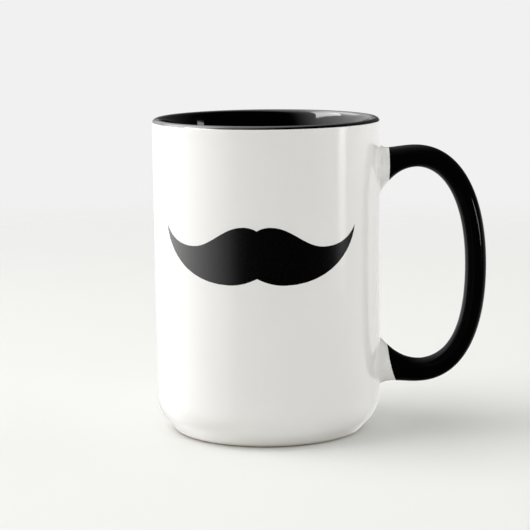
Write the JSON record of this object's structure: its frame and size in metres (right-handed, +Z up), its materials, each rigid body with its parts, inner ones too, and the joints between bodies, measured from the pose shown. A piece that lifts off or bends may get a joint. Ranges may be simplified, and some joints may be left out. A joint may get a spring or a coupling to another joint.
{
  "type": "coffee mug",
  "caption": "Tall straight-sided coffee mug, white outside with a black lining and lip, a rounded base on a bare foot ring, and a black loop handle luted to the wall.",
  "frame": {"origin": "middle of the bounding box on the table plane, under the wall on the handle side of the cup's axis", "axes": "+X from the cup towards the handle, -Y the front of the mug, +Z up from the table"},
  "size_m": [0.1272, 0.0864, 0.1194],
  "materials": {
    "stoneware": "matte",
    "slip": "matte",
    "white_glaze": "gloss",
    "black_glaze": "gloss"
  },
  "bodies": {
    "root": {"cup_body": "stoneware", "inner_glaze": "black_glaze", "outer_glaze": "white_glaze", "underside_glaze": "white_glaze", "upper_slip_joint": "slip", "lower_slip_joint": "slip", "handle": "stoneware", "handle_glaze": "black_glaze", "upper_root_glaze": "white_glaze", "lower_root_glaze": "white_glaze"}
  },
  "joints": []
}
